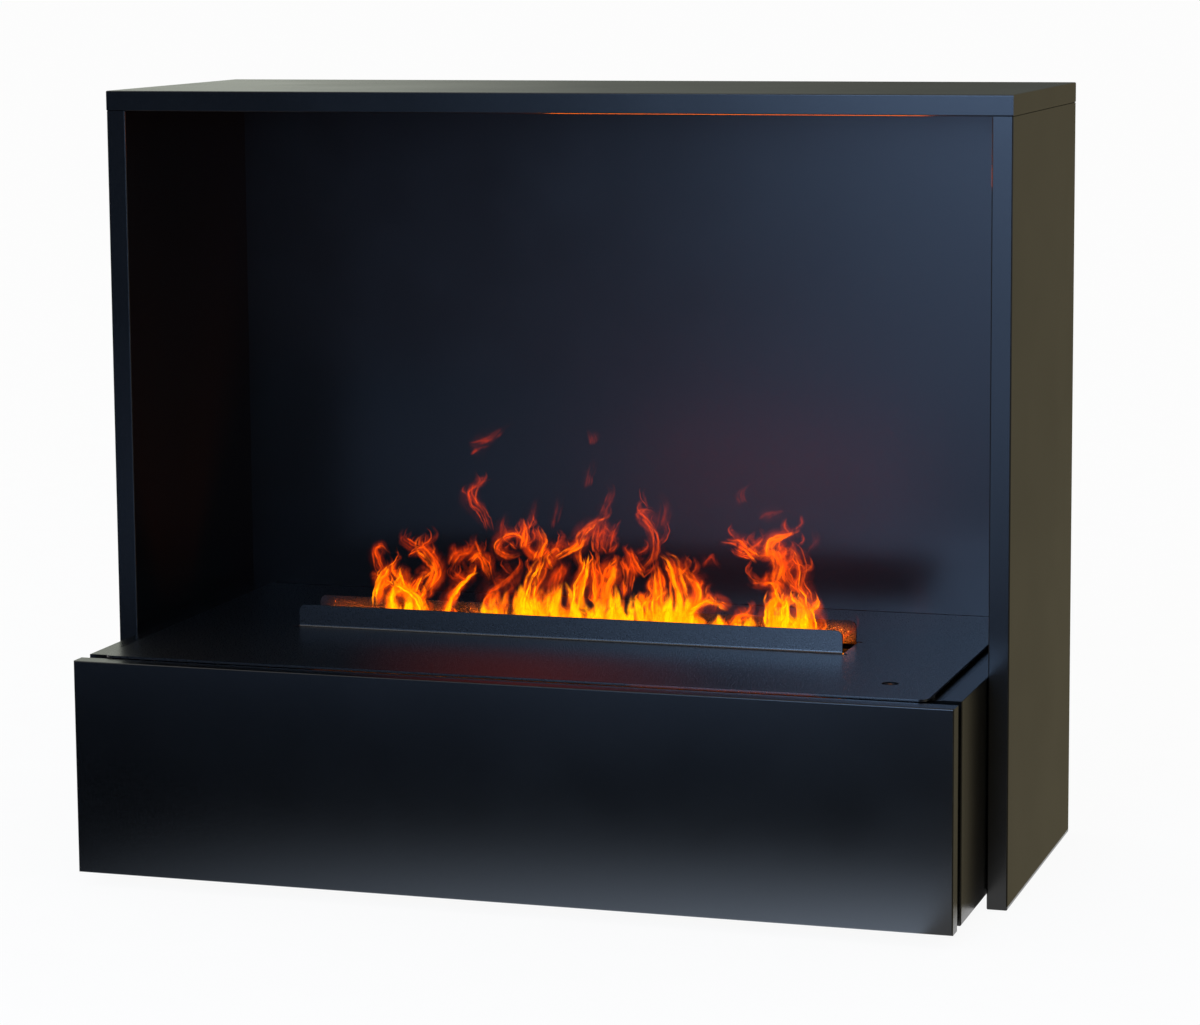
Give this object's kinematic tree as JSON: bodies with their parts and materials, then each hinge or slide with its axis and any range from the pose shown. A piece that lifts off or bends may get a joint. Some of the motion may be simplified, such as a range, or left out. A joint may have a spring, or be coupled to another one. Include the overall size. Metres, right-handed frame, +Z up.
{
  "type": "electric fireplace with mist burner",
  "caption": "Black board cabinet open at the front, with a protruding hearth base, a slotted steel hearth plate with bent-up flaps and a water-mist flame burner under it.",
  "frame": {"origin": "middle of the footprint, on the floor under the side panels", "axes": "+X to the right of the cabinet seen from the front, -Y to the front, +Z up"},
  "size_m": [0.82, 0.43, 0.692],
  "materials": {
    "satin_black_board": "satin black laminate",
    "bare_wood": "sawn",
    "black_steel": "matt black powder coat",
    "zinc_steel": "zinc plated",
    "black_plastic": "moulded",
    "button_plastic": "moulded",
    "natural_plastic": "moulded",
    "aluminium": "extruded",
    "ceramic_disc": "plated ceramic",
    "brass": "turned",
    "light_chip": "domed silicone",
    "amber_plastic": "frosted",
    "black_rubber": "matt",
    "clear_hose": "silicone",
    "circuit_board": "solder mask"
  },
  "bodies": {
    "cabinet": {"back_panel": "satin_black_board", "base_floor": "satin_black_board", "base_screws": "zinc_steel", "basin_cover": "black_plastic", "board_spacers": "brass", "burner_tray": "zinc_steel", "button_body": "black_plastic", "button_bracket": "zinc_steel", "cam_bolts": "zinc_steel", "cam_locks": "zinc_steel", "cap_seal": "black_rubber", "cleat_screws": "zinc_steel", "control_board": "circuit_board", "fascia_screws": "zinc_steel", "feed_hose": "clear_hose", "feed_valve": "black_plastic", "float_stem": "black_plastic", "front_diffuser": "amber_plastic", "front_fascia": "satin_black_board", "front_light_bar": "aluminium", "head_discs": "ceramic_disc", "head_rail": "aluminium", "head_rings": "brass", "hose_grommet": "black_rubber", "inlet_pins": "brass", "inlet_plate": "black_steel", "inlet_screws": "zinc_steel", "inner_front_board": "satin_black_board", "left_base_board": "satin_black_board", "left_cleat": "satin_black_board", "left_fan_housing": "black_plastic", "left_side_panel": "satin_black_board", "light_chips": "light_chip", "mains_inlet": "black_plastic", "mains_lead": "black_rubber", "mist_basin": "natural_plastic", "mist_duct": "black_plastic", "pan_screws": "zinc_steel", "panel_dowels": "bare_wood", "plate_pads": "black_rubber", "power_supply": "zinc_steel", "rear_diffuser": "amber_plastic", "rear_light_bar": "aluminium", "right_base_board": "satin_black_board", "right_cleat": "satin_black_board", "right_fan_housing": "black_plastic", "right_side_panel": "satin_black_board", "supply_terminals": "black_plastic", "switch_housing": "black_plastic", "tank_lid": "natural_plastic", "top_panel": "satin_black_board", "tray_bumpers": "black_rubber", "water_tank": "natural_plastic"},
    "hearth_plate": {"hearth_plate": "black_steel"},
    "power_button": {"power_button": "button_plastic"},
    "left_fan": {"left_fan_rotor": "black_plastic"},
    "right_fan": {"right_fan_rotor": "black_plastic"},
    "level_float": {"level_float": "natural_plastic"},
    "filler_cap": {"filler_cap": "black_plastic"},
    "mains_rocker": {"mains_rocker": "black_plastic"}
  },
  "joints": [
    {"name": "plate_lift", "type": "slide", "parent": "cabinet", "child": "hearth_plate", "axis": [0, 0, 1], "range_m": [0, 0.12]},
    {"name": "button_press", "type": "slide", "parent": "cabinet", "child": "power_button", "axis": [0, 0, -1], "range_m": [0, 0.0015], "stiffness_N_per_m": 400},
    {"name": "left_fan_spin", "type": "hinge", "parent": "cabinet", "child": "left_fan", "pos_m": [-0.124, -0.0765, 0.1132], "axis": [0, 0, 1], "continuous": true},
    {"name": "right_fan_spin", "type": "hinge", "parent": "cabinet", "child": "right_fan", "pos_m": [0.116, -0.0765, 0.1132], "axis": [0, 0, 1], "continuous": true},
    {"name": "float_rise", "type": "slide", "parent": "cabinet", "child": "level_float", "axis": [0, 0, 1], "range_m": [0, 0.025]},
    {"name": "cap_turn", "type": "hinge", "parent": "cabinet", "child": "filler_cap", "pos_m": [-0.325, -0.08, 0.17], "axis": [0, 0, 1], "range_deg": [0, 90]},
    {"name": "rocker_tilt", "type": "hinge", "parent": "cabinet", "child": "mains_rocker", "pos_m": [0.328, 0.2074, 0.092], "axis": [1, 0, 0], "range_deg": [0, 20]}
  ]
}
